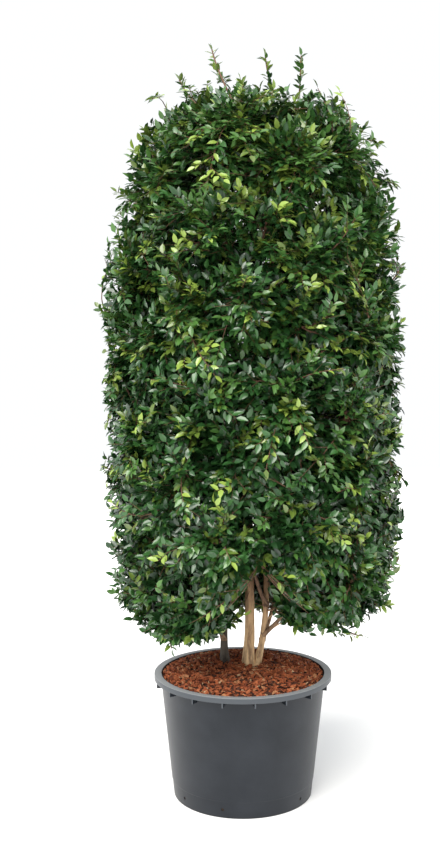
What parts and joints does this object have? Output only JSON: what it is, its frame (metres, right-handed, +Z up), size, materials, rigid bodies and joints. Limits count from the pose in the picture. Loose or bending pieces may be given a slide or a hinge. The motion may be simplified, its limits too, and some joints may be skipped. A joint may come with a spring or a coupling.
{
  "type": "sasanqua camellia in a nursery pot",
  "caption": "Tall evergreen camellia shrub with a dense column of glossy foliage over bare stems, growing in a round nursery pot under bark mulch.",
  "frame": {"origin": "centre of the pot's flat underside", "axes": "+Z up along the pot's axis, -Y towards the side that the picture shows, +X to the right of it"},
  "size_m": [1.4271, 1.3697, 3.4512],
  "materials": {
    "pot_plastic": "matte, moulded",
    "potting_mix": "loose, damp",
    "bark_mulch": "coarse chips",
    "bark": "smooth bark",
    "leaf": "glossy leaf"
  },
  "bodies": {
    "root": {"pot": "pot_plastic", "potting_mix": "potting_mix", "bark_mulch": "bark_mulch", "trunk": "bark", "left_stem": "bark", "bough_low_front": "bark", "bough_low_right": "bark", "bough_low_back_right": "bark", "bough_low_back_left": "bark", "bough_low_left": "bark", "bough_middle_front_right": "bark", "bough_middle_right": "bark", "bough_middle_back": "bark", "bough_middle_left": "bark", "bough_middle_front_left": "bark", "bough_upper_front": "bark", "bough_upper_right": "bark", "bough_upper_back_right": "bark", "bough_upper_back_left": "bark", "bough_upper_left": "bark", "foliage_low_front": "leaf", "foliage_low_right": "leaf", "foliage_low_back_right": "leaf", "foliage_low_back_left": "leaf", "foliage_low_left": "leaf", "foliage_middle_front_right": "leaf", "foliage_middle_right": "leaf", "foliage_middle_back": "leaf", "foliage_middle_left": "leaf", "foliage_middle_front_left": "leaf", "foliage_upper_front": "leaf", "foliage_upper_right": "leaf", "foliage_upper_back_right": "leaf", "foliage_upper_back_left": "leaf", "foliage_upper_left": "leaf", "foliage_top_back_right": "leaf", "foliage_top_left": "leaf", "foliage_top_front": "leaf"}
  },
  "joints": []
}
